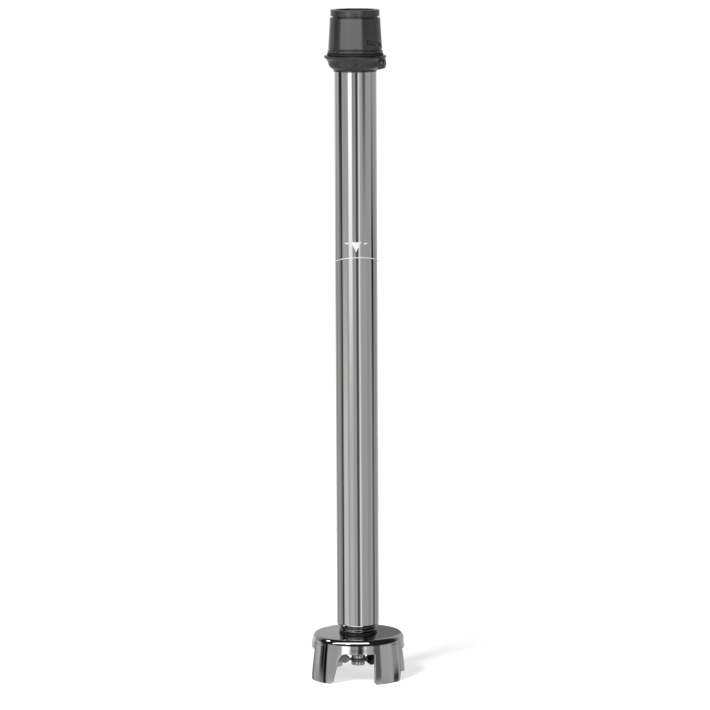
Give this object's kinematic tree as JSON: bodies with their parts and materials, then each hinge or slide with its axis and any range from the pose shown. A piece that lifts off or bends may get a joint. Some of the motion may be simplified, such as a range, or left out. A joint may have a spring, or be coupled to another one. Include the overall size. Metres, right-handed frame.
{
  "type": "immersion blender mixing tool",
  "caption": "Detachable mixing tool of a commercial immersion blender: coupling sleeve, long steel tube, driven shaft and a bell guard with windows round a two-winged blade.",
  "frame": {"origin": "on the tool's axis, level with the feet of the bell", "axes": "+Z along the tube, from the bell to the coupling; -Y is the front"},
  "size_m": [0.0776, 0.0776, 0.5544],
  "materials": {
    "polished_steel": "polished stainless steel",
    "machined_steel": "turned steel",
    "dark_steel": "dark polished steel",
    "black_plastic": "satin moulded plastic",
    "black_rubber": "moulded seal rubber",
    "white_plastic": "self-lubricating bearing plastic",
    "bronze": "turned bronze"
  },
  "bodies": {
    "tool_body": {"bell_guard": "polished_steel", "bell_gasket": "black_rubber", "bell_lock_nut": "machined_steel", "bearing_housing": "dark_steel", "lower_bearing_outer_race": "machined_steel", "housing_retaining_ring": "dark_steel", "shaft_seal": "black_rubber", "seal_garter_spring": "machined_steel", "outer_tube": "polished_steel", "guide_carrier_1": "black_rubber", "guide_bush_1": "white_plastic", "guide_carrier_2": "black_rubber", "guide_bush_2": "white_plastic", "bearing_carrier": "machined_steel", "upper_bearing_outer_race": "machined_steel", "carrier_retaining_ring": "dark_steel", "carrier_screw_1": "dark_steel", "carrier_screw_2": "dark_steel", "flange_skirt": "black_plastic", "flange_seal_ring": "black_rubber", "coupling_sleeve": "black_plastic"},
    "rotor": {"drive_shaft": "machined_steel", "drive_dog": "bronze", "dog_pin": "dark_steel", "upper_bearing_inner_race": "machined_steel", "shaft_retaining_ring": "dark_steel", "lower_bearing_inner_race": "machined_steel", "seal_spacer": "machined_steel", "blade_hub": "polished_steel", "blade": "polished_steel", "blade_cap": "polished_steel", "blade_screw": "dark_steel"},
    "upper_cage": {"upper_bearing_cage": "bronze", "upper_bearing_ball_1": "polished_steel", "upper_bearing_ball_2": "polished_steel", "upper_bearing_ball_3": "polished_steel", "upper_bearing_ball_4": "polished_steel", "upper_bearing_ball_5": "polished_steel", "upper_bearing_ball_6": "polished_steel", "upper_bearing_ball_7": "polished_steel"},
    "lower_cage": {"lower_bearing_cage": "bronze", "lower_bearing_ball_1": "polished_steel", "lower_bearing_ball_2": "polished_steel", "lower_bearing_ball_3": "polished_steel", "lower_bearing_ball_4": "polished_steel", "lower_bearing_ball_5": "polished_steel", "lower_bearing_ball_6": "polished_steel", "lower_bearing_ball_7": "polished_steel"}
  },
  "joints": [
    {"name": "rotor_spin", "type": "hinge", "parent": "tool_body", "child": "rotor", "pos_m": [0, 0, 0.27], "axis": [0, 0, 1], "continuous": true},
    {"name": "upper_cage_spin", "type": "hinge", "parent": "tool_body", "child": "upper_cage", "pos_m": [0, 0, 0.5118], "axis": [0, 0, 1], "continuous": true},
    {"name": "lower_cage_spin", "type": "hinge", "parent": "tool_body", "child": "lower_cage", "pos_m": [0, 0, 0.036], "axis": [0, 0, 1], "continuous": true}
  ],
  "couplings": [
    {"joint": "upper_cage_spin", "follows": "rotor_spin", "ratio": 0.368},
    {"joint": "lower_cage_spin", "follows": "rotor_spin", "ratio": 0.368}
  ]
}
